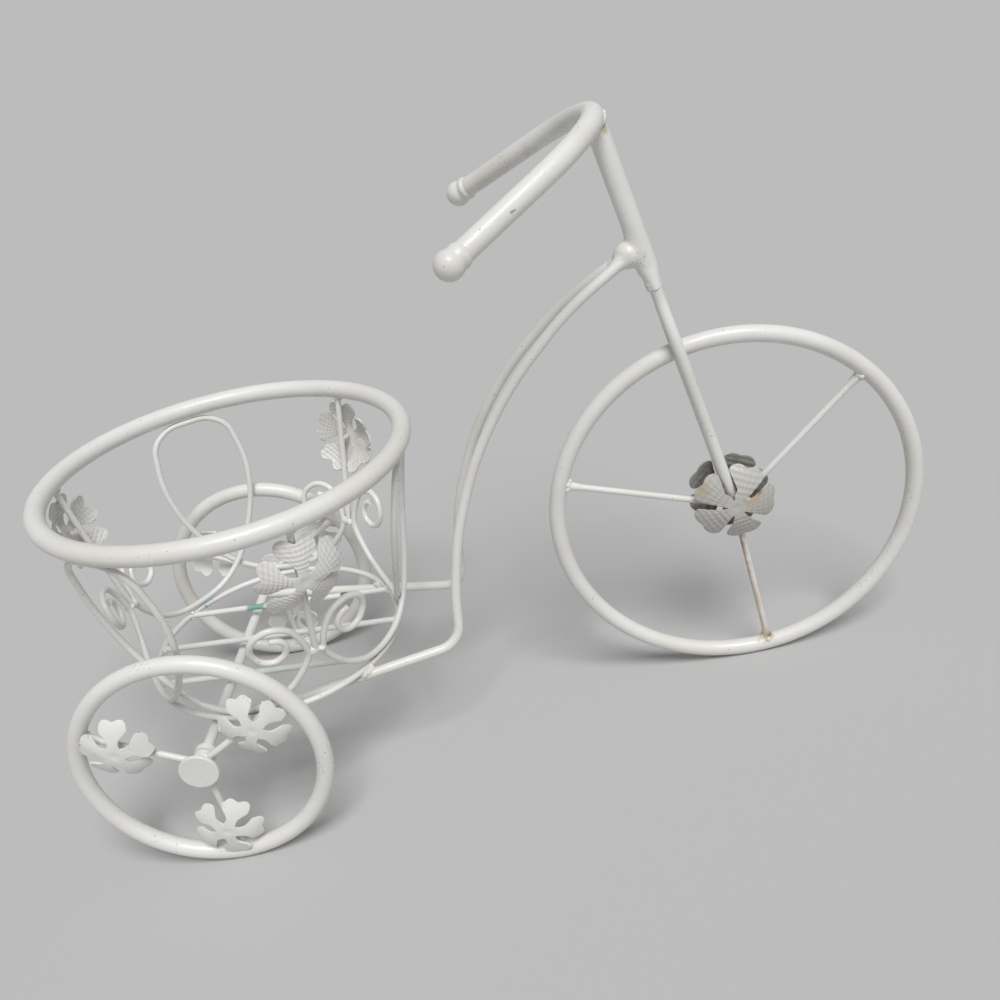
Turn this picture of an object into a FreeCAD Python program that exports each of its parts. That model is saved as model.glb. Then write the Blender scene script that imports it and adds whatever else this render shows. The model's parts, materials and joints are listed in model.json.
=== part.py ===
import FreeCAD, Part
import math
import os

os.makedirs("parts", exist_ok=True)
Vector = FreeCAD.Vector

# Tricycle plant stand in welded steel wire and tube, in millimetres and degrees.
# +X is forward, +Y is the stand's left, +Z is up; the wheels stand on z = 0.

# Stance, wheels and the bends of rods
wheelbase = 230.0
track = 141.0
front_wheel_dia = 158.0
rear_wheel_dia = 104.0
wheel_tube_dia = 7.0
spoke_dia = 2.7
spoke_foot_dia = 5.2
spoke_foot_length = 6.0
spoke_names = ("upper", "rear", "lower")
front_spoke_turns = (41.0, 160.0, 276.0)
rear_spoke_turns = (30.0, 150.0, 270.0)
bend_share = 0.45

# Rear axle, with hub sleeves that turn on it between collars and caps
axle_dia = 4.4
running_gap = 0.05
end_gap = 0.4
rear_sleeve_dia = 7.6
rear_sleeve_length = 7.0
collar_dia = 8.6
collar_length = 2.6
hub_cap_dia = 15.8
hub_cap_thick = 1.6
hub_cap_edge = 0.5

# Front hub and fork
axle_pin_dia = 3.2
front_sleeve_dia = 6.6
front_sleeve_length = 3.8
blade_dia = 4.6
blade_tail = 3.2
rim_gap = 0.5
fork_rake = 11.2
crown_above_rim = 24.0
shoulder_above_rim = 3.0
crown_run = 6.0
blade_pair_gap = 0.2

# Head tube and handlebar
head_tube_dia = 8.0
head_tube_length = 66.0
crimp_length = 8.0
crimp_wall = 0.5
bar_tube_dia = 8.0
bar_drop = 25.0
bar_bend_radius = 45.0
bar_bend_half_turn = 61.0
bar_arm_run = 37.0
knob_dia = 10.4
knob_collar_dia = 9.8
knob_collar_length = 1.8
knob_neck_dia = 7.6
knob_neck_length = 1.0

# Frame bars, from the lug behind the head tube to the rear axle
frame_bar_dia = 4.2
lug_dia = 10.4
lug_stand_share = 0.125
lug_above_crown = 15.0
frame_top_spread = 5.2
frame_foot_spread = 46.0
frame_axle_spread = 99.0
frame_foot_ahead = 104.0
frame_foot_drop = 0.6
frame_back_shares = (0.0, 0.27, 0.55, 0.75, 0.90, 0.975, 1.0)
frame_down_shares = (0.0, 0.095, 0.26, 0.44, 0.66, 0.86, 1.0)
frame_out_shares = (0.0, 0.23, 0.42, 0.59, 0.74, 0.87, 1.0)

# Basket
basket_offset = 20.0
basket_lean = 4.0
basket_height = 89.6
rim_over_track = 15.6
basket_tube_dia = 8.0
ring_inside_track = 28.2
wire_dia = 2.7
floor_bar_pitch = 26.0
stem_foot_share = 0.28
seat_gap = 0.1
front_stem_turn = 58.5

# One leg of a ribbon loop, from its top down: turn from the loop's middle as a share of the angle to the
# stem, height as a share of the basket's, the step by which the legs pass where they cross, and the bulge
loop_bulge = 2.0
loop_top_turn_share = 0.12
loop_rest_turn_share = -0.40
leg_upper_shares = (
    (0.235, 0.87, 0.0, 0.6),
    (0.285, 0.66, 0.0, 1.0),
    (0.255, 0.47, 0.2, 1.0),
    (0.165, 0.30, 0.7, 0.8),
    (0.02, 0.145, 1.0, 0.5),
    (-0.17, 0.055, 0.7, 0.2),
)
leg_lower_shares = (
    (-0.62, 0.05, 0.0, 0.0),
    (-0.80, 0.12, 0.0, 0.0),
    (-0.91, 0.215, 0.0, 0.0),
)
scroll_height_share = 0.38
scroll_touch_share = 0.28
scroll_stand_off = 2.0
scroll_start_radius = 11.6
scroll_end_radius = 4.3
scroll_turns = 1.25
scroll_steps = 10

# Stamped sheet flowers: shares are of the flower's radius
sheet_thick = 0.8
wheel_flower_dia = 29.0
wheel_flower_radius = 32.0
basket_flower_dia = 35.5
flower_below_rim = 23.1
basket_flower_rise = 0.3
hub_flower_dia = 35.5
hub_flower_lift = 4.0
hub_flower_stand = 2.6
pin_stand = 1.8
flower_stub_dia = 4.4
petal_count = 5
wheel_cup_share = 1.8
basket_cup_share = 1.6
hub_cup_share = 1.45
disc_share = 0.22
notch_share = 0.84
lobe_reach_share = 0.97
lobe_side_share = 0.20
wide_reach_share = 0.74
waist_reach_share = 0.48
wheel_petal_shares = (0.10, 0.14, 0.38)
basket_petal_shares = (0.115, 0.18, 0.47)
hub_petal_shares = (0.12, 0.22, 0.50)


def notch_depth(dia, cup_share):
    """How far behind a flower's front the sheet's back is at the petals' notches."""
    cup = cup_share * dia / 2
    return cup - math.sqrt((cup - sheet_thick) ** 2 - (notch_share * dia / 2) ** 2)


# Worked out from the sizes above
tube_r = wheel_tube_dia / 2
wire_r = wire_dia / 2
blade_r = blade_dia / 2
axle_r = axle_dia / 2
bar_r = frame_bar_dia / 2
head_r = head_tube_dia / 2
front_r = front_wheel_dia / 2
rear_r = rear_wheel_dia / 2
rim_tube_r = basket_tube_dia / 2
basket_rim_dia = track + rim_over_track
base_ring_dia = track - ring_inside_track
rim_r = basket_rim_dia / 2 - rim_tube_r
ring_r = base_ring_dia / 2 - wire_r
lean = math.radians(basket_lean)
front_reach = wheelbase + front_r
rim_back = rim_r * math.cos(lean) + rim_tube_r - basket_offset - basket_height * math.sin(lean)
flare = math.atan((rim_r - ring_r) / basket_height)
basket_flower_height = basket_height - flower_below_rim
cup_r = basket_flower_dia / 2 * basket_cup_share
basket_flower_depth = notch_depth(basket_flower_dia, basket_cup_share) + basket_flower_rise
cup_out = wire_r + seat_gap + basket_flower_depth - cup_r
cup_back = ring_r + basket_flower_height * math.tan(flare) + cup_out * math.cos(flare)
cup_up = basket_flower_height - cup_out * math.sin(flare)
flower_back = cup_back * math.cos(lean) - cup_up * math.sin(lean) + cup_r - basket_offset
rear_reach = max(rear_r, rim_back, flower_back)
rear_x = (rear_reach - front_reach) / 2
front_hub = Vector(rear_x + wheelbase, 0, front_r)
rear_hub = Vector(rear_x, 0, rear_r)
across = Vector(0, 1, 0)
rake = math.radians(fork_rake)
fork_up = Vector(-math.sin(rake), 0, math.cos(rake))
fork_back = Vector(-math.cos(rake), 0, -math.sin(rake))
sides = {"right": -1, "left": 1}
print("front hub", front_hub, "rear hub", rear_hub)


def save(name, shape):
    shape.exportStep("parts/" + name + ".step")


def rod(start, end, radius):
    line = end - start
    return Part.makeCylinder(radius, line.Length, start, line)


def ball(centre, radius):
    return Part.makeSphere(radius, centre)


def tube_path(points):
    """Straight runs with a tangent arc at every point in between, bend_share of the shorter run long."""
    edges = []
    last = points[0]
    for before, corner, after in zip(points, points[1:], points[2:]):
        back = before - corner
        ahead = after - corner
        reach = bend_share * min(back.Length, ahead.Length)
        enter = corner + back.normalize() * reach
        leave = corner + ahead.normalize() * reach
        half = back.getAngle(ahead) / 2
        inward = (back + ahead).normalize()
        middle = corner + inward * (reach / math.cos(half) - reach * math.tan(half))
        edges.append(Part.LineSegment(last, enter).toShape())
        edges.append(Part.Arc(enter, middle, leave).toShape())
        last = leave
    edges.append(Part.LineSegment(last, points[-1]).toShape())
    return Part.Wire(edges)


def sweep(path, radius, start, ahead):
    section = Part.Wire(Part.Circle(start, ahead, radius).toShape())
    return path.makePipeShell([section], True, False)


def bent_rod(points, radius):
    return sweep(tube_path(points), radius, points[0], points[1] - points[0])


def flower(dia, petal_shares, cup_share):
    """Domed flower of heart petals: its front touches the origin and its petals bend back along +Z."""
    radius = dia / 2
    neck, waist, wide = petal_shares

    def place(turn, reach, side):
        along = Vector(math.cos(turn), math.sin(turn), 0)
        aside = Vector(-math.sin(turn), math.cos(turn), 0)
        return (along * reach + aside * side) * radius

    edges = []
    half_pitch = math.pi / petal_count
    neck_reach = math.sqrt(disc_share ** 2 - neck ** 2)
    for petal in range(petal_count):
        turn = 2 * half_pitch * petal
        notch = place(turn, notch_share, 0)
        for side in (-1, 1):
            root = place(turn, neck_reach, side * neck)
            narrow = place(turn, waist_reach_share, side * waist)
            broad = place(turn, wide_reach_share, side * wide)
            lobe = place(turn, lobe_reach_share, side * lobe_side_share)
            flank = Part.Arc(root, narrow, broad).toShape()
            crown = Part.Arc(broad, lobe, notch).toShape()
            edges += [flank, crown] if side < 0 else [crown, flank]
        valley = place(turn + half_pitch, disc_share, 0)
        next_root = place(turn + 2 * half_pitch, neck_reach, -neck)
        edges.append(Part.Arc(root, valley, next_root).toShape())
    outline = Part.Face(Part.Wire(Part.__sortEdges__(edges)))
    cup = cup_share * radius
    centre = Vector(0, 0, cup)
    shell = ball(centre, cup).cut(ball(centre, cup - sheet_thick))
    return outline.extrude(centre).common(shell).Solids[0]


def stood_flower(bloom, seat, outward, upright, depth):
    """The flower with its front depth millimetres out from seat, on a short stub that reaches down to it."""
    stub = rod(seat, seat + outward * (depth - sheet_thick / 2), flower_stub_dia / 2)
    return placed(bloom, seat + outward * depth, -outward, upright).fuse(stub).Solids[0]


def placed(shape, origin, direction, upright):
    """The shape moved to origin, with its +Z along direction and its +X towards upright."""
    aside = direction.cross(upright)
    turn = FreeCAD.Rotation(aside.cross(direction), aside, direction, "ZXY")
    moved = shape.copy()
    moved.Placement = FreeCAD.Placement(origin, turn)
    return moved


def turned_knob():
    """Collar, neck and ball in one turned piece that stands on z = 0."""
    neck_r = knob_neck_dia / 2
    knob_r = knob_dia / 2
    neck_end = knob_collar_length + knob_neck_length
    middle = neck_end + math.sqrt(knob_r ** 2 - neck_r ** 2)
    corners = [
        Vector(0, 0, 0),
        Vector(knob_collar_dia / 2, 0, 0),
        Vector(knob_collar_dia / 2, 0, knob_collar_length),
        Vector(neck_r, 0, knob_collar_length),
        Vector(neck_r, 0, neck_end),
    ]
    top = Vector(0, 0, middle + knob_r)
    edges = [Part.LineSegment(a, b).toShape() for a, b in zip(corners, corners[1:])]
    edges.append(Part.Arc(corners[-1], Vector(knob_r, 0, middle), top).toShape())
    edges.append(Part.LineSegment(top, corners[0]).toShape())
    return Part.Face(Part.Wire(edges)).revolve(Vector(0, 0, 0), Vector(0, 0, 1), 360)


def wheel_direction(turn):
    return Vector(math.cos(math.radians(turn)), 0, math.sin(math.radians(turn)))


def hub_sleeve(centre, dia, bore_dia, length):
    start = centre - across * (length / 2)
    outer = Part.makeCylinder(dia / 2, length, start, across)
    return outer.cut(Part.makeCylinder(bore_dia / 2, length, start, across))


def wheel(prefix, centre, wheel_dia, sleeve, spoke_turns):
    """Rim, sleeve and spokes of one wheel; returns the spoke directions by name."""
    ring_centre_r = wheel_dia / 2 - tube_r
    rim = Part.makeTorus(ring_centre_r, tube_r, centre, across)
    save(prefix + "_rim", rim)
    save(prefix + "_hub_sleeve", sleeve)
    directions = {}
    core = Part.makeCylinder(sleeve.BoundBox.ZLength / 2, track, centre - across * (track / 2), across)
    for name, turn in zip(spoke_names, spoke_turns):
        ray = wheel_direction(turn)
        directions[name] = ray
        spoke = rod(centre, centre + ray * ring_centre_r, spoke_dia / 2)
        foot_start = centre + ray * (ring_centre_r - tube_r - spoke_foot_length)
        foot = Part.makeCone(spoke_dia / 2, spoke_foot_dia / 2, spoke_foot_length + tube_r, foot_start, ray)
        save(prefix + "_spoke_" + name, spoke.fuse(foot).cut(rim).cut(core).Solids[0])
    return directions


# Front wheel
front_sleeve = hub_sleeve(front_hub, front_sleeve_dia, axle_pin_dia + 2 * running_gap, front_sleeve_length)
wheel("front_wheel", front_hub, front_wheel_dia, front_sleeve, front_spoke_turns)

# Fork blades, pin and the two flowers that cover its ends
hub_half = front_sleeve_length / 2 + end_gap + blade_r
shoulder_half = tube_r + blade_r + 2 * rim_gap
crown_half = blade_r + blade_pair_gap / 2
crown = front_hub + fork_up * (front_r + crown_above_rim)
shoulder = front_hub + fork_up * (front_r + shoulder_above_rim)
pin_half = hub_half + blade_r + pin_stand
pin = Part.makeCylinder(axle_pin_dia / 2, 2 * pin_half, front_hub - across * pin_half, across)
save("front_axle_pin", pin)
hub_bloom = flower(hub_flower_dia, hub_petal_shares, hub_cup_share)
slot_start = front_hub + fork_up * (hub_flower_lift + waist_reach_share * hub_flower_dia / 2)
slot_end = front_hub + fork_up * hub_flower_dia
slot_half = fork_back * (blade_r + rim_gap)
slot_corners = [slot_start - slot_half, slot_start + slot_half, slot_end + slot_half, slot_end - slot_half]
blade_slot = Part.Face(Part.makePolygon(slot_corners + slot_corners[:1]))
for side, sign in sides.items():
    aside = across * sign
    blade = bent_rod(
        [
            front_hub - fork_up * blade_tail + aside * hub_half,
            shoulder + aside * shoulder_half,
            crown - fork_up * crown_run + aside * crown_half,
            crown + aside * crown_half,
        ],
        blade_r,
    )
    save("fork_blade_" + side, blade.cut(pin))
    apex = front_hub + fork_up * hub_flower_lift
    apex += aside * (hub_half + blade_r + hub_flower_stand + sheet_thick)
    bloom = placed(hub_bloom, apex, -aside, -fork_up)
    save("front_flower_" + side, bloom.cut(blade_slot.extrude(aside * track)).Solids[0])

# Handlebar and its knobs
bar_middle = crown + fork_up * head_tube_length
drop = math.radians(bar_drop)
arm_back = Vector(-math.cos(drop), 0, -math.sin(drop))
half_turn = math.radians(bar_bend_half_turn)
bend_centre = bar_middle + arm_back * bar_bend_radius
bend_ends = {}
arm_ends = {}
for side, sign in sides.items():
    aside = across * sign
    radial = aside * math.sin(half_turn) - arm_back * math.cos(half_turn)
    heading = arm_back * math.sin(half_turn) + aside * math.cos(half_turn)
    bend_ends[side] = bend_centre + radial * bar_bend_radius
    arm_ends[side] = bend_ends[side] + heading * bar_arm_run
    save("grip_knob_" + side, placed(turned_knob(), arm_ends[side], heading, across))
bar_path = Part.Wire(
    [
        Part.LineSegment(arm_ends["right"], bend_ends["right"]).toShape(),
        Part.Arc(bend_ends["right"], bar_middle, bend_ends["left"]).toShape(),
        Part.LineSegment(bend_ends["left"], arm_ends["left"]).toShape(),
    ]
)
arm_run = bend_ends["right"] - arm_ends["right"]
save("handlebar", sweep(bar_path, bar_tube_dia / 2, arm_ends["right"], arm_run))
bar_room = sweep(bar_path, bar_tube_dia / 2 + seat_gap, arm_ends["right"], arm_run)

# Head tube, its lower end crimped to an oval round the two blades
crimp_top = crown + fork_up * crimp_length
tube_circle = Part.Circle(crimp_top, fork_up, head_r).toShape()
oval_long = crown_half + blade_r + crimp_wall
oval_short = blade_r + crimp_wall
oval = Part.Ellipse(crown + across * oval_long, crown + fork_back * oval_short, crown).toShape()
crimp = Part.makeLoft([Part.Wire(oval), Part.Wire(tube_circle)], True, True)
head_tube = rod(crimp_top, bar_middle, head_r).fuse(crimp).cut(bar_room)
save("head_tube", head_tube.Solids[0])

# Frame lug, bars and rear axle
lug_centre = crown + fork_up * lug_above_crown + fork_back * (head_r + lug_stand_share * lug_dia)
lug = ball(lug_centre, lug_dia / 2).cut(head_tube)
save("frame_lug", lug.Solids[0])
cap_start = track / 2 + rear_sleeve_length / 2 + end_gap
rear_axle = Part.makeCylinder(axle_r, 2 * cap_start, rear_hub - across * cap_start, across)
save("rear_axle", rear_axle)
frame_foot_z = rear_r - frame_foot_drop
for side, sign in sides.items():
    route = []
    for back, down, out in zip(frame_back_shares, frame_down_shares, frame_out_shares):
        x = lug_centre.x + (rear_x + frame_foot_ahead - lug_centre.x) * back
        z = lug_centre.z + (frame_foot_z - lug_centre.z) * down
        spread = frame_top_spread + (frame_foot_spread - frame_top_spread) * out
        route.append(Vector(x, sign * spread / 2, z))
    route.append(Vector(rear_x, sign * frame_axle_spread / 2, rear_r))
    frame_bar = bent_rod(route, bar_r).cut(lug).cut(rear_axle)
    save("frame_bar_" + side, max(frame_bar.Solids, key=lambda solid: solid.Volume))

# Rear wheels, with the collars and caps that keep them on the axle
wheel_bloom = flower(wheel_flower_dia, wheel_petal_shares, wheel_cup_share)
spoke_foot_rise = (spoke_foot_dia - spoke_dia) / 2
wheel_flower_depth = notch_depth(wheel_flower_dia, wheel_cup_share) + spoke_foot_rise
for side, sign in sides.items():
    aside = across * sign
    centre = rear_hub + aside * (track / 2)
    rear_sleeve = hub_sleeve(centre, rear_sleeve_dia, axle_dia + 2 * running_gap, rear_sleeve_length)
    rays = wheel("rear_wheel_" + side, centre, rear_wheel_dia, rear_sleeve, rear_spoke_turns)
    rim_room = Part.makeTorus(rear_r - tube_r, tube_r + rim_gap, centre, across)
    for name, ray in rays.items():
        seat = centre + ray * wheel_flower_radius + aside * (spoke_dia / 2 + seat_gap)
        bloom = stood_flower(wheel_bloom, seat, aside, ray, wheel_flower_depth).cut(rim_room).Solids[0]
        save("rear_wheel_" + side + "_flower_" + name, bloom)
    inner = rear_hub + aside * (track / 2 - rear_sleeve_length / 2 - end_gap - collar_length)
    collar = Part.makeCylinder(collar_dia / 2, collar_length, inner, aside)
    save("axle_collar_" + side, collar.cut(rear_axle))
    outer = rear_hub + aside * cap_start
    cap = Part.makeCylinder(hub_cap_dia / 2, hub_cap_thick, outer, aside)
    cap = cap.makeFillet(hub_cap_edge, [cap.Edges[0], cap.Edges[2]])
    save("hub_cap_" + side, cap)

# Basket height: the base ring rests on the frame bars where it crosses them in plan
foot = Vector(frame_foot_ahead - basket_offset, frame_foot_spread / 2, 0)
heel = Vector(-basket_offset, frame_axle_spread / 2, 0)
run = heel - foot
half_b = foot.dot(run) / run.dot(run)
crossing_share = -half_b - math.sqrt(half_b ** 2 - (foot.dot(foot) - ring_r ** 2) / run.dot(run))
crossing = foot + run * crossing_share
bar_top = frame_foot_z + frame_foot_drop * crossing_share + bar_r
base_z = bar_top + wire_r + seat_gap + crossing.x * math.tan(lean)
basket_place = FreeCAD.Placement(
    Vector(rear_x + basket_offset, 0, base_z), FreeCAD.Rotation(Vector(0, 1, 0), basket_lean)
)
basket_axis = Vector(0, 0, 1)


def save_basket(name, shape):
    moved = shape.copy()
    moved.Placement = basket_place.multiply(shape.Placement)
    save(name, moved)


def on_basket(turn, height, step=0.0):
    """Point on the basket's cone, step millimetres outside it; turn in degrees from the front."""
    radius = ring_r + (rim_r - ring_r) * height / basket_height + step
    angle = math.radians(turn)
    return Vector(radius * math.cos(angle), radius * math.sin(angle), height)


rim = Part.makeTorus(rim_r, rim_tube_r, basket_axis * basket_height, basket_axis)
save_basket("basket_rim", rim)
base_ring = Part.makeTorus(ring_r, wire_r, Vector(0, 0, 0), basket_axis)
save_basket("base_ring", base_ring)
for index, name in enumerate(("right", "middle", "left")):
    y = floor_bar_pitch * (index - 1)
    half = math.sqrt(ring_r ** 2 - y ** 2)
    floor_bar = rod(Vector(-half, y, 0), Vector(half, y, 0), wire_r).cut(base_ring)
    save_basket("floor_bar_" + name, max(floor_bar.Solids, key=lambda solid: solid.Volume))

# Stems at both sides of the front and at the rear, each with its flower
basket_bloom = flower(basket_flower_dia, basket_petal_shares, basket_cup_share)
rear_stem_turn = math.degrees(math.pi)
for name, turn in (("left", front_stem_turn), ("rear", rear_stem_turn), ("right", -front_stem_turn)):
    top = on_basket(turn, basket_height)
    stem = rod(on_basket(turn, basket_height * stem_foot_share), top, wire_r).cut(rim)
    save_basket("basket_stem_" + name, stem.Solids[0])
    outward = on_basket(turn, 0).normalize()
    up_stem = (top - on_basket(turn, 0)).normalize()
    normal = (outward - up_stem * outward.dot(up_stem)).normalize()
    seat = on_basket(turn, basket_flower_height) + normal * (wire_r + seat_gap)
    bloom = stood_flower(basket_bloom, seat, normal, up_stem, basket_flower_depth)
    save_basket("basket_flower_" + name, bloom)

# Ribbon loops between the stems: under the rim, down, across each other, along the base ring and up
# beside the stems into scrolls
step_out = wire_r + seat_gap / 2
rest_height = 2 * wire_r + seat_gap
loop_top = basket_height - rim_tube_r - wire_r - seat_gap
scroll_height = basket_height * scroll_height_share
scroll_cone_r = ring_r + (rim_r - ring_r) * scroll_height_share
stem_clear_turn = math.degrees((2 * wire_r + seat_gap) / scroll_cone_r)


def loop_leg(middle, to_stem, side):
    """Points of one leg from the loop's top to the scroll's end; side is 1 or -1."""

    def leg_points(shares):
        points = []
        for turn, height, cross, bulge in shares:
            step = side * cross * step_out + bulge * loop_bulge
            points.append(on_basket(middle + side * turn * to_stem, height * basket_height, step))
        return points

    leg = [on_basket(middle + side * loop_top_turn_share * to_stem, loop_top)]
    leg += leg_points(leg_upper_shares)
    leg.append(on_basket(middle + side * loop_rest_turn_share * to_stem, rest_height))
    leg += leg_points(leg_lower_shares)
    beside_stem = to_stem - stem_clear_turn
    leg.append(on_basket(middle - side * beside_stem, scroll_touch_share * basket_height))
    for step in range(scroll_steps + 1):
        done = step / scroll_steps
        radius = scroll_start_radius + (scroll_end_radius - scroll_start_radius) * done
        angle = math.pi - 2 * math.pi * scroll_turns * done
        from_stem = scroll_stand_off + scroll_start_radius + radius * math.cos(angle)
        turn = beside_stem - math.degrees(from_stem / scroll_cone_r)
        leg.append(on_basket(middle - side * turn, scroll_height + radius * math.sin(angle)))
    return leg


side_loop_half = math.degrees(math.pi - math.radians(front_stem_turn)) / 2
side_loop_turn = front_stem_turn + side_loop_half
for name, middle, to_stem in (
    ("front", 0.0, front_stem_turn),
    ("left", side_loop_turn, side_loop_half),
    ("right", -side_loop_turn, side_loop_half),
):
    route = loop_leg(middle, to_stem, 1)[::-1] + loop_leg(middle, to_stem, -1)
    loop = bent_rod(route, wire_r)
    drawn = math.pi * wire_r ** 2 * tube_path(route).Length
    print(name, "loop: volume over section times length", round(loop.Volume / drawn, 6))
    save_basket("basket_loop_" + name, loop)
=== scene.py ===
# %% [markdown]
# # Dressing a tricycle plant stand
# The stand is a small garden ornament: three wire wheels, a fork with a curled handlebar, and a wire basket
# over the rear axle that holds a flower pot. A wire bender makes it from steel rod and thin tube, a welder
# tacks it together, and somebody paints it white, more than once. Its solids come ready from the
# construction model. This lesson gives them the paint, the lumps of weld and the thin stamped flowers that
# a solid model leaves out. Lengths are in metres.

# %% Load the solids
import json
import math

import bmesh
import bpy
import numpy as np
from mathutils import Matrix, Vector, noise
from mathutils.bvhtree import BVHTree


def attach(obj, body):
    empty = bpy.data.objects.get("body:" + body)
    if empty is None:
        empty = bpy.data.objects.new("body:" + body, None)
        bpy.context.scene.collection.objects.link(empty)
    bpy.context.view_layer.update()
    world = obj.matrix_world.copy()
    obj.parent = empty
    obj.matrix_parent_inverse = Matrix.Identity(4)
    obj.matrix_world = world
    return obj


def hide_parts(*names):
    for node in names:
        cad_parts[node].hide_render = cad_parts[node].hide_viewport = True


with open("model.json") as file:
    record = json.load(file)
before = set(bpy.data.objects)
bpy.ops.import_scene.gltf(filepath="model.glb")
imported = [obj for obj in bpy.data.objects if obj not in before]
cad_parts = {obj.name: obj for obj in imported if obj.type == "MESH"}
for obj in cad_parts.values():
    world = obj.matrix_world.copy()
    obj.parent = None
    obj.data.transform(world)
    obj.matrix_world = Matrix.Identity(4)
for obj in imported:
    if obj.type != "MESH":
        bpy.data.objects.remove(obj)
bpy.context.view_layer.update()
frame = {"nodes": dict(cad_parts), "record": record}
nodes = frame["nodes"]
mm = 0.001

# %% [markdown]
# ## The camera
# The picture was taken from close by, a little above the basket, with the camera tipped to one side. The
# place, turn and focal length below come from the outlines of the three wheels and of the basket's rim. The
# place counts from the middle of the rear axle.

# %% Camera
def corners(name):
    solid = nodes[name]
    return [solid.matrix_world @ vertex.co for vertex in solid.data.vertices]


def middle(name):
    points = np.array(corners(name))
    return Vector((points.min(axis=0) + points.max(axis=0)) / 2)


eye = middle("rear_axle") + Vector((0.1688, -0.3534, 0.2364))
azimuth, elevation, roll = (math.radians(turn) for turn in (5.77, 27.5, -14.17))
forward = Vector((-math.sin(azimuth), math.cos(azimuth), 0))
ahead = forward * math.cos(elevation) - Vector((0, 0, math.sin(elevation)))
level = Vector((math.cos(azimuth), math.sin(azimuth), 0))
over = level.cross(ahead)
right = level * math.cos(roll) + over * math.sin(roll)
above = over * math.cos(roll) - level * math.sin(roll)

lens = bpy.data.cameras.new("camera")
lens.lens = 34.07
lens.clip_start = 0.01
camera = bpy.data.objects.new("camera", lens)
camera.matrix_world = Matrix.Translation(eye) @ Matrix((right, above, -ahead)).transposed().to_4x4()
scene = bpy.context.scene
scene.collection.objects.link(camera)
scene.camera = camera
scene.view_settings.view_transform = "Standard"
print("camera", tuple(round(value, 3) for value in eye), "lens", lens.lens, "mm")

# %% [markdown]
# ## Shader sums that read like sums
# Paint is described with numbers that vary over the surface. A small class wraps a node's socket, so that
# `a * 0.5 + b` adds the Math nodes by itself, and a kit makes every other node from its type, its settings
# and its sockets.

# %% Socket class and node kit
class Flow:
    """A value on its way through a material; arithmetic on it adds Math nodes."""

    def __init__(self, kit, socket):
        self.kit = kit
        self.socket = socket

    def out(self, key):
        return Flow(self.kit, self.socket.node.outputs[key])

    def sum(self, operation, first, second):
        return self.kit.node("ShaderNodeMath", {"operation": operation}, {0: first, 1: second})

    def __add__(self, other):
        return self.sum("ADD", self, other)

    def __radd__(self, other):
        return self.sum("ADD", other, self)

    def __sub__(self, other):
        return self.sum("SUBTRACT", self, other)

    def __rsub__(self, other):
        return self.sum("SUBTRACT", other, self)

    def __mul__(self, other):
        return self.sum("MULTIPLY", self, other)

    def __rmul__(self, other):
        return self.sum("MULTIPLY", other, self)

    def most(self, other):
        return self.sum("MAXIMUM", self, other)

    def rise(self, low, high, way="SMOOTHSTEP"):
        """0 below low, 1 above high, and smooth between; the other way round if low is above high."""
        ends = {"Value": self, "From Min": low, "From Max": high}
        return self.kit.node("ShaderNodeMapRange", {"interpolation_type": way}, ends)


class Kit:
    """The node tree of a material or of the sky, its shader and a method that makes any node."""

    def __init__(self, owner, shader="Principled BSDF"):
        owner.use_nodes = True
        self.owner = owner
        self.tree = owner.node_tree
        self.shader = self.tree.nodes[shader]
        self.place = None

    def node(self, kind, settings=None, sockets=None):
        made = self.tree.nodes.new(kind)
        for key, value in (settings or {}).items():
            setattr(made, key, value)
        for key, value in (sockets or {}).items():
            self.feed(made.inputs[key], value)
        return Flow(self, made.outputs[0])

    def feed(self, socket, value):
        if isinstance(value, Flow):
            self.tree.links.new(value.socket, socket)
        else:
            socket.default_value = value

    def grain(self, size, seed, detail=3.0, roughness=0.55):
        """Noise whose blotches are about size metres across, from 0 to 1."""
        sockets = {"Vector": self.place, "W": seed, "Scale": 1 / size}
        sockets.update({"Detail": detail, "Roughness": roughness})
        return self.node("ShaderNodeTexNoise", {"noise_dimensions": "4D"}, sockets)

    def blend(self, share, first, second):
        made = self.node("ShaderNodeMix", {"data_type": "RGBA"}, {0: share, 6: first, 7: second})
        return made.out(2)

    def vector(self, operation, first, second):
        return self.node("ShaderNodeVectorMath", {"operation": operation}, {0: first, 1: second})

    def streak(self, start, end, radius, ragged, soft):
        """1 along the line from start to end, 0 beyond the radius; the ragged noise pushes its edge about."""
        line = Vector(end) - Vector(start)
        away = self.vector("SUBTRACT", self.place, start)
        if line.length > 0:
            share = self.vector("DOT_PRODUCT", away, line / line.length_squared).out("Value")
            share = share.rise(0, 1, "LINEAR")
            along = self.node("ShaderNodeVectorMath", {"operation": "SCALE"}, {0: line, "Scale": share})
            away = self.vector("SUBTRACT", away, along)
        distance = self.node("ShaderNodeVectorMath", {"operation": "LENGTH"}, {0: away}).out("Value")
        return (distance * (1 / radius) + (ragged - 0.5) * 1.2).rise(1.0, 1.0 - soft)


print("socket class and node kit ready")
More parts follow.
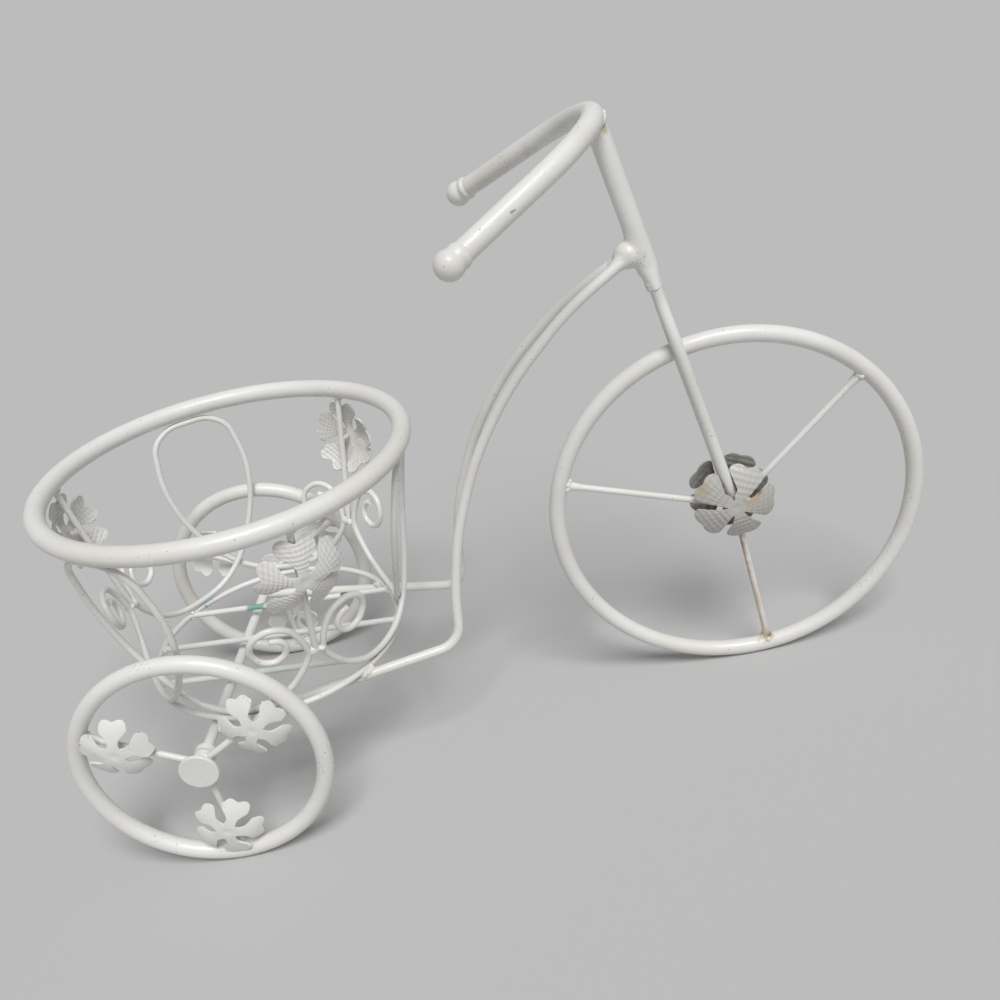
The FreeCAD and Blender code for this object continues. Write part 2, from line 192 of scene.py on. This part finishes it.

# %% [markdown]
# ## Old white paint
# The paint is a satin white gone slightly yellow, brushed or sprayed over an older teal coat. It is thicker
# in places, it holds grey dirt, it is pricked with dark specks where damp got under it, and it has let go at
# a few welds, where rust or the older coat shows. The same grey also paints shade into the colour, in the
# corners where parts meet and in the pressed grooves of the flowers, and a dark mark paints the shade inside
# the front hub. One function makes all of it. Every finish sets how much of each fault it has and where its
# own marks are; the marks' places were found on the object.

# %% Paint
white = (0.77, 0.765, 0.745, 1)
cream = (0.67, 0.65, 0.59, 1)
grime_and_shade = (0.33, 0.31, 0.27, 1)
speck_brown = (0.06, 0.05, 0.042, 1)
speck_scale = 1250.0
# strength of the painted shade in the flowers' pressed grooves
groove_shade = 0.55
# how far the painted corner shade reaches
corner_shade_reach = 3.0 * mm
mark_looks = {
    "blue": ((0.47, 0.62, 0.66, 1), 0.6, 0.7),
    "teal": ((0.105, 0.33, 0.27, 1), 0.85, 0.4),
    "green": ((0.045, 0.10, 0.075, 1), 0.9, 0.3),
    "bare": ((0.50, 0.48, 0.45, 1), 1.0, 0.3),
    "stain": ((0.50, 0.39, 0.23, 1), 0.75, 0.9),
    "rust": ((0.25, 0.135, 0.055, 1), 0.85, 0.8),
    # dark is painted shade, used inside the front hub between its two flowers
    "dark": ((0.05, 0.035, 0.028, 1), 0.9, 0.6),
    "scuff": ((0.09, 0.095, 0.085, 1), 0.7, 0.9),
}


def millimetres(point):
    return [value * mm for value in point]


def paint(
    name, seed, specks, dirt, marks=(), speckled=(), undercoat=None, base=white, rough=0.42, corner=0.0
):
    """Old paint. Specks, dirt and painted corner shade with dirt run from 0 to 1; marks are (kind, start, end,
    radius) in mm.
    """
    kit = Kit(bpy.data.materials.new(name))
    kit.place = kit.node("ShaderNodeTexCoord").out("Object")
    tone = kit.grain(0.045, seed)
    ragged = kit.grain(0.004, seed + 1, detail=5)
    lumps = kit.grain(0.004, seed + 2, detail=2)
    peel = kit.grain(0.0011, seed + 3, detail=2)
    colour = kit.blend(tone.rise(0.40, 0.72) * 0.7, base, [a * b / c for a, b, c in zip(base, cream, white)])

    soiled = kit.grain(0.019, seed + 4, detail=6, roughness=0.65)
    dirt_and_shade = soiled.rise(0.66 - 0.12 * dirt, 0.86) * (0.25 + 0.5 * dirt)
    groove = kit.node("ShaderNodeAttribute", {"attribute_name": "groove"}).out("Fac")
    # painted shade: the flowers' pressed grooves darken the colour, made patchy by the dirt noise
    dirt_and_shade = dirt_and_shade.most(groove * (0.5 + 0.5 * soiled) * groove_shade)
    if corner:
        # painted shade with some dirt: ambient occlusion darkens the colour in the corners where parts meet
        free = kit.node("ShaderNodeAmbientOcclusion", {"samples": 8}, {"Distance": corner_shade_reach}).out("AO")
        dirt_and_shade = dirt_and_shade.most(free.rise(0.75, 0.25) * (0.3 + 0.9 * ragged) * corner)
    # the grey mixed in here is dirt, and painted shade from the corners and the flowers' grooves
    colour = kit.blend(dirt_and_shade, colour, grime_and_shade)

    gone = {}
    for kind, start, end, radius in marks:
        soft = mark_looks[kind][2]
        here = kit.streak(millimetres(start), millimetres(end), radius * mm, ragged, soft)
        gone[kind] = gone[kind].most(here) if kind in gone else here
    if undercoat is not None:
        height = kit.node("ShaderNodeSeparateXYZ", sockets={0: kit.place}).out("Z")
        low_down = height.rise(undercoat + 0.012, undercoat)
        patch = kit.grain(0.013, seed + 5, detail=5, roughness=0.6)
        gone["teal"] = gone["teal"].most(patch.rise(0.665, 0.70) * low_down)
        gone["blue"] = gone["blue"].most(patch.rise(0.50, 0.66) * low_down * 0.8)
    worn = dirt_and_shade * 0.3
    for kind, (tint, strength, soft) in mark_looks.items():
        if kind in gone:
            colour = kit.blend(gone[kind] * strength, colour, tint)
            worn = worn.most(gone[kind] * (0.2 if kind in ("blue", "stain") else 1.0))

    cells = kit.node("ShaderNodeTexVoronoi", sockets={"Vector": kit.place, "Scale": speck_scale})
    chance = kit.node("ShaderNodeSeparateColor", sockets={0: cells.out("Color")})
    crowd = kit.grain(0.016, seed + 6, detail=3).rise(0.54, 0.74) * specks
    for point, radius in speckled:
        here = kit.streak(millimetres(point), millimetres(point), radius * mm, ragged, 0.8)
        crowd = crowd.most(here)
    shape = (cells.out("Distance") + chance.out(1) * 0.2).rise(0.42, 0.24)
    dots = (chance + crowd * 0.42).rise(0.975, 0.99) * shape
    colour = kit.blend(dots * 0.7, colour, speck_brown)

    height = lumps * 0.5 + peel * 0.16 + tone * 0.6 - dots * 0.2 - worn * 0.35
    bump = kit.node("ShaderNodeBump", sockets={"Strength": 0.42, "Distance": 0.0006, "Height": height})
    kit.feed(kit.shader.inputs["Base Color"], colour)
    kit.feed(kit.shader.inputs["Roughness"], rough + dirt_and_shade * 0.25 + worn * 0.22 + (tone - 0.5) * 0.12)
    kit.feed(kit.shader.inputs["Normal"], bump)
    kit.feed(kit.shader.inputs["Coat Weight"], 0.12 - dirt_and_shade * 0.1)
    if "bare" in gone:
        kit.feed(kit.shader.inputs["Metallic"], gone["bare"] * 0.9)
    return kit.owner


def dab(kind, point, radius):
    return (kind, point, point, radius)


spoke_top, spoke_low = (100.9, 0, 65.5), (106.6, 0, 14)
rust_top, rust_low = (100.2, -0.6, 68), (102.7, -0.6, 38)
finishes = {
    "rim_tube": paint(
        "rim_paint", 3, 0.3, 0.40,
        speckled=[((-80.4, -72.0, 45.2), 17), ((-134, -72, 103), 9), ((150, 0, 30), 12)],
        marks=[dab("stain", (108.6, -1, 8), 5), dab("rust", (104.5, -3, 7), 1.8)],
    ),
    "handlebar_tube": paint(
        "handlebar_paint", 11, 0.6, 0.30,
        marks=[
            ("scuff", (35.2, -51.6, 228.6), (36.4, -50.9, 228.9), 0.75),
            dab("scuff", (63.7, 11.6, 242.1), 0.9),
            dab("stain", (72.1, -3.4, 239.5), 2.4), dab("rust", (71.4, -3.2, 241.0), 1.3),
        ],
        speckled=[((59.3, 22.5, 239.7), 6)],
    ),
    "frame_rod": paint(
        "rod_paint", 21, 0.75, 0.50, corner=0.8,
        marks=[
            # the dark streak paints shade on the axle pin inside the front hub
            ("dark", (101.5, -6, 79), (101.5, 6, 79), 9), dab("blue", (28, 0, 120), 16),
            dab("stain", (71.8, -3.6, 239.2), 1.9), dab("rust", (71.4, -3.2, 241.0), 1.3),
        ],
        speckled=[((-127, 20, 54), 14), ((77, -3, 192), 6)],
    ),
    "basket_wire": paint(
        "wire_paint", 31, 0.5, 0.50, undercoat=0.064, corner=0.8,
        marks=[
            dab("teal", (-125, 27, 59), 6), dab("green", (-80, 26, 57), 3.5),
            dab("teal", (-119, -47, 59), 6), dab("blue", (-93, -27, 74), 16),
            dab("bare", (-107, -53, 59), 5), dab("rust", (-78, -52, 66), 3),
        ],
    ),
    "spoke_wire": paint(
        "spoke_paint", 41, 0.50, 0.55, corner=0.8,
        marks=[
            ("rust", rust_top, rust_low, 2.7), ("stain", spoke_top, spoke_low, 3.6),
            dab("stain", (108.6, 0, 10), 6), dab("rust", (109.8, -1, 8), 2.2),
            dab("rust", (101.5, 0, 79), 14),
        ],
    ),
    "stamped_flower": paint("flower_paint", 51, 0.45, 0.45, rough=0.45),
    # the dark mark paints shade on the fittings inside the front hub
    "hub_fitting": paint(
        "fitting_paint", 61, 0.15, 0.45, marks=[dab("dark", (101.5, 0, 79), 12)], rough=0.45,
    ),
}
subparts = {part["node"]: part for part in frame["record"]["subparts"]}
for name, solid in nodes.items():
    solid.data.materials.clear()
    solid.data.materials.append(finishes[subparts[name]["material_slot"]])
print(len(finishes), "finishes on", len(nodes), "solids")

# %% [markdown]
# ## Where things touch
# Every joint on the stand is a weld, so the script needs the places where two rods meet. It walks the edges
# of one solid in short steps, asks for the nearest point on the other, and keeps the meeting places that
# lie well apart.

# %% Meeting places
def long_axis(name):
    """The direction in which a straight solid is longest, turned upwards."""
    points = np.array(corners(name))
    spread = points - points.mean(axis=0)
    along = np.linalg.svd(spread, full_matrices=False)[2][0]
    return Vector(along if along[2] > 0 else -along)


stride = 0.8 * mm


def walk(name):
    """The corners of a solid, and points a stride apart along its edges."""
    points = corners(name)
    walked = list(points)
    for edge in nodes[name].data.edges:
        start, end = (points[index] for index in edge.vertices)
        steps = int((end - start).length / stride)
        walked += [start.lerp(end, step / steps) for step in range(1, steps)]
    return walked


def meetings(first, second, within, apart):
    """Points halfway between two solids where they come within a distance of each other."""
    solid = nodes[second]
    faces = [tuple(face.vertices) for face in solid.data.polygons]
    tree = BVHTree.FromPolygons(corners(second), faces)
    found = []
    for point in walk(first):
        near, normal, face, distance = tree.find_nearest(point, within)
        if near is not None:
            found.append((distance, point.lerp(near, 0.5)))
    kept = []
    for distance, point in sorted(found, key=lambda item: (round(item[0], 7), tuple(item[1]))):
        if all((point - other).length > apart for other in kept):
            kept.append(point)
    return kept


def stub(name, other, length):
    """The middle of a rod's end where it meets another solid, and the middle of the rod a length away."""
    mouth = meetings(name, other, 0.5 * mm, stride)
    mouth = sum(mouth, Vector()) / len(mouth)
    ring = [point for point in walk(name) if abs((point - mouth).length - length) < stride]
    return mouth, sum(ring, Vector()) / len(ring)


print("rim meets its rear stem at", [tuple(round(value, 4) for value in point)
                                     for point in meetings("basket_stem_rear", "basket_rim", 0.2 * mm, 6 * mm)])

# %% [markdown]
# ## Stamped flowers
# Eleven flowers are cut from thin sheet: five heart-shaped petals round a small disc, pressed into a dome and
# bent by hand afterwards, no two petals alike. A flower here is five grids that meet in the disc. Every row of
# a grid is an arc round the middle; a table says how wide the petal is at each reach, which makes the slits
# between petals, and the last rows draw back at the middle for the heart's notch. The press left a waffle of
# cross and lengthwise ridges in the large flowers, and it is in the mesh. A Solidify modifier gives the
# sheet its thickness, and the two flowers at the front hub a duller back.

# %% Flower sheets
sheet = 0.8 * mm
edge_round = 0.22 * mm
half_sector = math.pi / 5
end_across = (0.0, 0.10, 0.25, 0.45, 0.65, 0.82, 0.93, 1.0)
kinds = {
    "wheel": {
        "radius": 14.5, "cup": 1.8, "disc": 0.28, "rows": 30, "columns": 28, "bends": (0.95, 1.35),
        "first_bend": 0.66, "ridges": 0, "lines": 0, "ridge": 0.0, "woven": 0.0, "twist": 0.06,
        "reaches": (0.28, 0.33, 0.39, 0.50, 0.63, 0.78, 0.90, 1.0),
        "turns": (36, 28, 21, 18.5, 22.5, 27, 28, 25.5),
        "end": (0.925, 0.935, 0.965, 0.995, 0.99, 0.95, 0.90, 0.85),
    },
    "basket": {
        "radius": 17.75, "cup": 1.6, "disc": 0.20, "rows": 56, "columns": 44, "bends": (0.80, 1.15),
        "first_bend": 0.95, "ridges": 8.5, "lines": 6.5, "ridge": 0.38, "woven": 0.36, "twist": 0.13,
        "reaches": (0.20, 0.25, 0.34, 0.48, 0.63, 0.78, 0.90, 1.0),
        "turns": (36, 27, 20.5, 21.5, 27, 31, 32, 30),
        "end": (0.865, 0.88, 0.935, 0.985, 0.985, 0.945, 0.89, 0.84),
    },
    "hub": {
        "radius": 17.75, "cup": 1.45, "disc": 0.20, "rows": 50, "columns": 40, "bends": (0.88, 1.0),
        "first_bend": 0.97, "ridges": 6.0, "lines": 5.5, "ridge": 0.36, "woven": 0.34, "twist": 0.05,
        "reaches": (0.20, 0.25, 0.34, 0.48, 0.63, 0.78, 0.90, 1.0),
        "turns": (36, 31, 28, 28, 28.5, 29, 29.5, 28.5),
        "end": (0.93, 0.94, 0.965, 0.985, 0.98, 0.955, 0.92, 0.88),
    },
}
posts = {"wheel": {}, "basket": [], "hub": []}


def dome_apex(name, axis):
    """Front of a domed solid: fits a sphere to the corners that face along the axis."""
    solid = nodes[name]
    front = [vertex.co for vertex in solid.data.vertices if vertex.normal.dot(axis) > 0.6]
    points = np.array([solid.matrix_world @ place for place in front])
    system = np.hstack([2 * points, np.ones((len(points), 1))])
    answer = np.linalg.lstsq(system, (points ** 2).sum(axis=1), rcond=None)[0]
    centre = answer[:3]
    radius = math.sqrt(answer[3] + centre @ centre)
    return Vector(centre) + axis * radius


def link(name, mesh, slot, body):
    piece = bpy.data.objects.new(name, mesh)
    scene.collection.objects.link(piece)
    mesh.polygons.foreach_set("use_smooth", [True] * len(mesh.polygons))
    mesh.materials.append(finishes[slot])
    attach(piece, body)
    return piece


def petal_grid(shape, petal, rng, slot_half, opened):
    """One petal's grid of (along, aside, behind, groove) from the flower's front, in metres."""
    radius = shape["radius"] * mm
    cup = shape["cup"] * radius
    bend = rng.uniform(*shape["bends"])
    if petal == 0:
        bend = shape["first_bend"]
    bend *= 1 - opened
    tilt = rng.uniform(-1, 1) * shape["twist"]
    curl = rng.uniform(-0.4, 1.0) * shape["twist"]
    phase = rng.uniform(0, math.tau)
    offset = Vector(rng.uniform(-50, 50, size=3))
    disc = shape["disc"]
    reaches = np.concatenate([np.linspace(0.05, disc, 5), np.linspace(disc, 1, shape["rows"])[1:]])
    grid = []
    for reach in reaches:
        out = max(0.0, (reach - disc) / (1 - disc))
        half_turn = math.radians(np.interp(reach, shape["reaches"], shape["turns"]))
        line = []
        for share in np.linspace(-1, 1, shape["columns"] + 1):
            widest = half_turn
            beside_slot = (petal == 2 and share > 0) or (petal == 3 and share < 0)
            if slot_half and beside_slot and reach > disc:
                free = half_sector - math.asin(min(0.9, slot_half / (reach * radius)))
                widest += (min(half_turn, free) - half_turn) * np.interp(reach, (0.33, 0.47), (0, 1))
            turn = 2 * half_sector * petal + widest * share
            far = reach * (1 + (np.interp(abs(share), end_across, shape["end"]) - 1) * out ** 1.6)
            flat = far * radius
            along = flat * math.cos(turn)
            aside = flat * math.sin(turn)
            behind = (cup - math.sqrt(cup ** 2 - flat ** 2)) * (1 + (bend - 1) * out)
            behind += radius * out * (tilt * share + curl * share ** 2)
            sway = noise.noise(Vector((along, aside, 0)) * 110 + offset)
            ridge_at = (far * math.cos(widest * share) - disc) / (1 - disc)
            cross = 0.5 + 0.5 * math.sin(phase + math.tau * shape["ridges"] * ridge_at + 1.4 * sway)
            length = 0.5 + 0.5 * math.sin(phase + math.pi * shape["lines"] * share + 1.4 * sway)
            press = shape["ridge"] * min(1.0, 5 * out) * (1 - 0.35 * out)
            waffle = (1 - shape["woven"]) * cross + shape["woven"] * length
            behind -= press * mm * waffle
            behind += 0.4 * mm * math.exp(-((far / 0.10) ** 2))
            behind -= 0.45 * mm * out * noise.noise(Vector((along, aside, 0)) * 140 + offset)
            line.append((along, aside, behind, (1 - waffle) * press / 0.36))
        grid.append(line)
    return grid


def flower(node, kind, axis, upright, body, seed, slot_half=0.0, opened=0.0):
    """A sheet flower for a node: petal 0 points upright, the front faces the axis, opened flattens it."""
    shape = kinds[kind]
    rng = np.random.default_rng(seed)
    apex = dome_apex(node, axis)
    along = (upright - axis * upright.dot(axis)).normalized()
    aside = axis.cross(along)
    bm = bmesh.new()
    groove = bm.verts.layers.float.new("groove")
    hub = bm.verts.new(apex - axis * 0.4 * mm)
    for petal in range(5):
        grid = []
        for line in petal_grid(shape, petal, rng, slot_half, opened):
            grid.append([bm.verts.new(apex + along * a + aside * b - axis * c) for a, b, c, depth in line])
            for vertex, (a, b, c, depth) in zip(grid[-1], line):
                vertex[groove] = depth
        for first, second in zip(grid[0], grid[0][1:]):
            bm.faces.new((hub, first, second))
        for low, high in zip(grid, grid[1:]):
            for column in range(len(low) - 1):
                bm.faces.new((low[column], high[column], high[column + 1], low[column + 1]))
    bmesh.ops.remove_doubles(bm, verts=bm.verts, dist=0.02 * mm)
    bmesh.ops.recalc_face_normals(bm, faces=bm.faces)
    if sum(face.normal.dot(axis) for face in bm.faces) < 0:
        bmesh.ops.reverse_faces(bm, faces=bm.faces)
    mesh = bpy.data.meshes.new(node + "_sheet")
    bm.to_mesh(mesh)
    bm.free()
    piece = link(node + "_sheet", mesh, "stamped_flower", body)
    if kind == "hub":
        mesh.materials[0] = dirty_flower
        mesh.materials.append(flower_back)
    else:
        mesh.materials.append(finishes["stamped_flower"])
    thick = piece.modifiers.new("sheet", "SOLIDIFY")
    thick.thickness = sheet
    thick.offset = -1
    thick.material_offset = 1
    edge = piece.modifiers.new("edge", "BEVEL")
    edge.width = edge_round
    edge.segments = 2
    edge.limit_method = "ANGLE"
    edge.angle_limit = math.radians(50)
    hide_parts(node)
    return apex


hub_rust = [dab("stain", (88.5, -5, 92), 4.5)]
for y in (-9, 9):
    hub_rust += [dab("stain", (107, y, 85.5), 5), dab("rust", (110, 0.8 * y, 88), 3)]
hub_grey = (0.53, 0.525, 0.50, 1)
back_grey = (0.34, 0.335, 0.32, 1)
dirty_flower = paint("hub_flower_paint", 81, 0.5, 0.8, base=hub_grey, marks=hub_rust, rough=0.45)
hub_shade = [dab("dark", (101.5, 0, 80), 21)]
flower_back = paint("flower_back_paint", 71, 0.3, 0.8, base=back_grey, marks=hub_shade, rough=0.6)
across = Vector((0, 1, 0))
stems = ("left", "rear", "right")
spokes = ("upper", "rear", "lower")
wheels = {
    "front_wheel": ("front_wheel", 6),
    "rear_wheel_right": ("right_rear_wheel", 7),
    "rear_wheel_left": ("left_rear_wheel", 8),
}
seed = 100
for wheel in ("rear_wheel_right", "rear_wheel_left"):
    hub_at = middle(wheel + "_rim")
    outward = across if hub_at.y > 0 else -across
    posts["wheel"][wheel] = []
    for spoke in spokes:
        seed += 1
        spoke_out = middle(wheel + "_spoke_" + spoke) - hub_at
        apex = flower(wheel + "_flower_" + spoke, "wheel", outward, spoke_out, wheels[wheel][0], seed)
        posts["wheel"][wheel].append((apex, -outward, 2.2))
for stem in stems:
    seed += 1
    up_stem = long_axis("basket_stem_" + stem)
    from_ring = middle("basket_stem_" + stem) - middle("base_ring")
    facing = (from_ring - up_stem * from_ring.dot(up_stem)).normalized()
    apex = flower("basket_flower_" + stem, "basket", facing, up_stem, "frame", seed)
    posts["basket"].append((apex, -facing, 3.0))
fork_up = long_axis("head_tube")
for side, facing, opened in (("left", across, 0.55), ("right", -across, 0.0)):
    seed += 1
    apex = flower("front_flower_" + side, "hub", facing, -fork_up, "frame", seed, 2.75 * mm, opened)
    posts["hub"].append((apex - fork_up * 4 * mm, -facing, 0.5))
print(seed - 100, "flowers, sheet", sheet / mm, "mm thick")

# %% [markdown]
# ## Lumps of weld
# The welder tacked the wires with short arcs, so each joint has a few rounded lumps, some of them run
# together, under the paint. A lump here is a sphere of fine triangles pushed in and out by noise, flattened
# and turned at random, and sunk into the rods it joins. One object holds the lumps of one area, with the
# posts that hold the flowers off their wires. A Remesh modifier melts the lumps of an object into one skin and
# a Smooth modifier rounds it, as paint does. Behind the head tube the bars end in one larger blob that runs
# smoothly into tube and bars. It starts from a ball and short rods along them, which the long smoothing turns
# into hollow curves.

# %% Weld beads
post_radius = 1.5 * mm
skin_voxel = 0.35 * mm


def add_lump(bm, point, radius, rng, rough):
    squash = Vector([1 + rough * rng.uniform(*ends) for ends in ((-0.05, 0.25), (-0.2, 0.0), (-0.35, -0.15))])
    spin = Matrix.Rotation(rng.uniform(0, math.tau), 3, Vector(rng.normal(size=3)).normalized())
    offset = Vector(rng.uniform(-50, 50, size=3))
    for vertex in bmesh.ops.create_icosphere(bm, subdivisions=3, radius=1.0)["verts"]:
        bulge = 0.22 * noise.noise(vertex.co * 1.4 + offset) + 0.08 * noise.noise(vertex.co * 4.0 + offset)
        vertex.co = point + spin @ (vertex.co * squash * (1 + rough * bulge) * radius)


def add_rod(bm, start, end, radius, end_radius):
    along = end - start
    turn = along.to_track_quat("Z", "Y").to_matrix().to_4x4()
    place = Matrix.Translation((start + end) / 2) @ turn
    ends = {"radius1": radius, "radius2": end_radius, "depth": along.length}
    bmesh.ops.create_cone(bm, cap_ends=True, segments=32, matrix=place, **ends)


def weld(name, slot, body, joints, seed, held=(), blobs=(), rods=(), rough=1.0, melt=4):
    """joints: (first node, second node, lump radius, how close, how far apart) in mm; melt rounds it."""
    rng = np.random.default_rng(seed)
    bm = bmesh.new()
    count = 0
    for first, second, radius, within, apart in joints:
        for point in meetings(first, second, within * mm, apart * mm):
            shift = Vector(rng.normal(size=3)) * 0.12 * rough * radius * mm
            add_lump(bm, point + shift, radius * mm * (1 + rough * rng.uniform(-0.15, 0.2)), rng, rough)
            count += 1
    for apex, back, length in held:
        for step in np.arange(2.9, 3.0 + length, 1.0):
            add_lump(bm, apex + back * step * mm, post_radius, rng, rough)
            count += 1
    for point, radius in blobs:
        add_lump(bm, point, radius, rng, rough)
        count += 1
    for rod in rods:
        add_rod(bm, *rod)
    mesh = bpy.data.meshes.new(name)
    bm.to_mesh(mesh)
    bm.free()
    piece = link(name, mesh, slot, body)
    run = piece.modifiers.new("run_together", "REMESH")
    run.mode = "VOXEL"
    run.voxel_size = skin_voxel
    run.use_smooth_shade = True
    soften = piece.modifiers.new("soften", "SMOOTH")
    soften.factor = 0.5
    soften.iterations = melt
    print(name, count, "lumps")


loops_at = {"left": ("front", "left"), "rear": ("left", "right"), "right": ("front", "right")}
rim_joints = []
foot_joints = []
floor_joints = []
for stem in stems:
    rim_joints.append(("basket_stem_" + stem, "basket_rim", 1.4, 0.4, 1.6))
    for loop in loops_at[stem]:
        foot_joints.append(("basket_loop_" + loop, "basket_stem_" + stem, 2.3, 0.6, 3.5))
for loop in ("front", "left", "right"):
    rim_joints.append(("basket_loop_" + loop, "basket_rim", 1.4, 0.3, 9.0))
    floor_joints.append(("basket_loop_" + loop, "base_ring", 1.5, 0.3, 9.0))
for bar in ("left", "middle", "right"):
    floor_joints.append(("floor_bar_" + bar, "base_ring", 1.35, 0.3, 2.0))
weld("basket_rim_welds", "basket_wire", "frame", rim_joints, 1)
weld("basket_stem_welds", "basket_wire", "frame", foot_joints, 2, posts["basket"])
weld("basket_floor_welds", "basket_wire", "frame", floor_joints, 3)

lug_ends = [dome_apex("frame_lug", way) for way in (across, -across)]
lug_at = (lug_ends[0] + lug_ends[1]) / 2
lug_blobs = [(lug_at, 0.525 * (lug_ends[0] - lug_ends[1]).length)]
tube_at = middle("head_tube") + fork_up * (lug_at - middle("head_tube")).dot(fork_up)
lug_rods = [(tube_at, tube_at + fork_up * rise * mm, 4.4 * mm, 3.5 * mm) for rise in (-10, 11)]
crown_blobs = []
frame_joints = []
fork_joints = []
for side in ("left", "right"):
    frame_joints += [
        ("frame_bar_" + side, "base_ring", 2.5, 0.6, 1.8),
        ("frame_bar_" + side, "rear_axle", 2.3, 0.5, 5.0),
    ]
    for point in meetings("head_tube", "fork_blade_" + side, 0.5 * mm, 0.7 * mm):
        inside = tube_at + fork_up * (point - tube_at).dot(fork_up)
        for rise in (0.3, 2.0):
            crown_blobs.append((point.lerp(inside, 0.4) + fork_up * rise * mm, 1.8 * mm))
    fork_joints.append(("front_axle_pin", "fork_blade_" + side, 1.2, 0.3, 3.0))
    mouth, bar_at = stub("frame_bar_" + side, "frame_lug", 7.0 * mm)
    lug_rods.append((lug_at.lerp(mouth, 0.5), bar_at, 3.5 * mm, 1.6 * mm))
weld("frame_welds", "frame_rod", "frame", frame_joints, 4)
weld("lug_weld", "frame_rod", "frame", (), 9, blobs=lug_blobs, rods=lug_rods, rough=0.12, melt=60)
bar_joint = ("head_tube", "handlebar", 1.25, 0.5, 0.7)
weld("crown_weld", "frame_rod", "frame", [bar_joint], 10, blobs=crown_blobs, rough=0.08, melt=14)
weld("fork_welds", "frame_rod", "frame", fork_joints, 5, posts["hub"], rough=0.4, melt=8)
for wheel, (body, seed) in wheels.items():
    spoke_joints = []
    for spoke in spokes:
        spoke_joints.append((wheel + "_spoke_" + spoke, wheel + "_rim", 1.25, 0.3, 1.7))
        spoke_joints.append((wheel + "_spoke_" + spoke, wheel + "_hub_sleeve", 1.15, 0.3, 1.8))
    weld(wheel + "_welds", "spoke_wire", body, spoke_joints, seed, posts["wheel"].get(wheel, ()))

# %% [markdown]
# ## Knobs on the handlebar
# Each arm of the handlebar ends in a small turned knob: a ring, a shallow neck and a ball. Paint has filled the
# neck and rounded every edge, most of all on the right, so each knob is turned here from its own soft profile in
# place of the sharp solid.

# %% Turned knobs
def lathe(node, base, axis, profile, steps=48):
    """Turns (radius, height) pairs in millimetres round the axis, in place of a node of the frame."""
    side = axis.orthogonal().normalized()
    bm = bmesh.new()
    rings = []
    for radius, height in profile:
        ring = []
        for step in range(steps):
            turn = math.tau * step / steps
            out = side * math.cos(turn) + axis.cross(side) * math.sin(turn)
            wobble = 1 + 0.012 * noise.noise(out * 1.3 + axis * height * 0.4)
            ring.append(bm.verts.new(base + axis * height * mm + out * radius * wobble * mm))
        rings.append(ring)
    for low, high in zip(rings, rings[1:]):
        for step in range(steps):
            after = (step + 1) % steps
            bm.faces.new((low[step], low[after], high[after], high[step]))
    bm.faces.new(rings[0][::-1])
    bm.faces.new(rings[-1])
    mesh = bpy.data.meshes.new(node + "_turned")
    bm.to_mesh(mesh)
    bm.free()
    piece = link(node + "_turned", mesh, subparts[node]["material_slot"], "frame")
    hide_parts(node)
    return piece


ball_radius = 5.2
ball_height = 6.35
ball = []
for turn in np.radians(np.linspace(-30, 88.5, 18)):
    ball.append((ball_radius * math.cos(turn), ball_height + ball_radius * math.sin(turn)))
ring_heights = (0.0, 0.25, 0.65, 1.1, 1.5, 1.9, 2.3, 2.7, 3.2)
ring_radii = {
    "left": (4.06, 4.16, 4.46, 4.70, 4.76, 4.68, 4.50, 4.38, 4.40),
    "right": (4.04, 4.10, 4.24, 4.42, 4.56, 4.65, 4.64, 4.55, 4.50),
}
bar_drop = math.radians(25)
bend_half_turn = math.radians(61)
arm_back = Vector((-math.cos(bar_drop), 0, -math.sin(bar_drop)))
for side, facing in (("left", across), ("right", -across)):
    node = "grip_knob_" + side
    heading = arm_back * math.sin(bend_half_turn) + facing * math.cos(bend_half_turn)
    heights = [corner.dot(heading) for corner in corners(node)]
    ball_centre = sum((corner for corner in corners(node)), Vector()) / len(heights)
    base = ball_centre + heading * (min(heights) - ball_centre.dot(heading))
    lathe(node, base, heading, list(zip(ring_radii[side], ring_heights)) + ball)
print("knobs", len(ring_heights) + len(ball), "rings each")

# %% [markdown]
# ## The studio
# A wide, plain, pale floor keeps the shadow of the wires. One broad lamp, high up and a little towards the
# camera, lights the floor evenly, and a dim sky fills the shadows. A matt floor under such light has one tone
# everywhere, which is worked out here: the sky shows that tone to the camera and in reflections, so that no
# horizon cuts the picture.

# %% Floor, lamp and sky
pale = 0.52
sky_light = 0.29
lamp_light = 2.5
lamp_way = Vector((-0.22, 0.58, -1.0)).normalized()
floor_tone = pale * (lamp_light * -lamp_way.z / math.pi + sky_light)

bm = bmesh.new()
bmesh.ops.create_circle(bm, cap_ends=True, segments=64, radius=60)
floor_mesh = bpy.data.meshes.new("floor")
bm.to_mesh(floor_mesh)
bm.free()
floor = bpy.data.objects.new("floor", floor_mesh)
scene.collection.objects.link(floor)
floor_kit = Kit(bpy.data.materials.new("floor_paper"))
floor_kit.feed(floor_kit.shader.inputs["Base Color"], (pale, pale, pale, 1))
floor_kit.feed(floor_kit.shader.inputs["Roughness"], 1.0)
floor_kit.feed(floor_kit.shader.inputs["Specular IOR Level"], 0.0)
floor_mesh.materials.append(floor_kit.owner)

lamp = bpy.data.lights.new("key", "SUN")
lamp.energy = lamp_light
lamp.angle = math.radians(28)
key = bpy.data.objects.new("key", lamp)
key.rotation_euler = lamp_way.to_track_quat("-Z", "Y").to_euler()
scene.collection.objects.link(key)

sky = Kit(bpy.data.worlds.new("sky"), "Background")
path = sky.node("ShaderNodeLightPath")
seen = path.most(path.out("Is Glossy Ray")).most(path.out("Is Transmission Ray"))
dim, shown = ((tone, tone, tone, 1) for tone in (sky_light, floor_tone))
sky.feed(sky.shader.inputs["Color"], sky.blend(seen, dim, shown))
scene.world = sky.owner
print("floor tone", round(floor_tone, 3), "lamp", lamp_light)
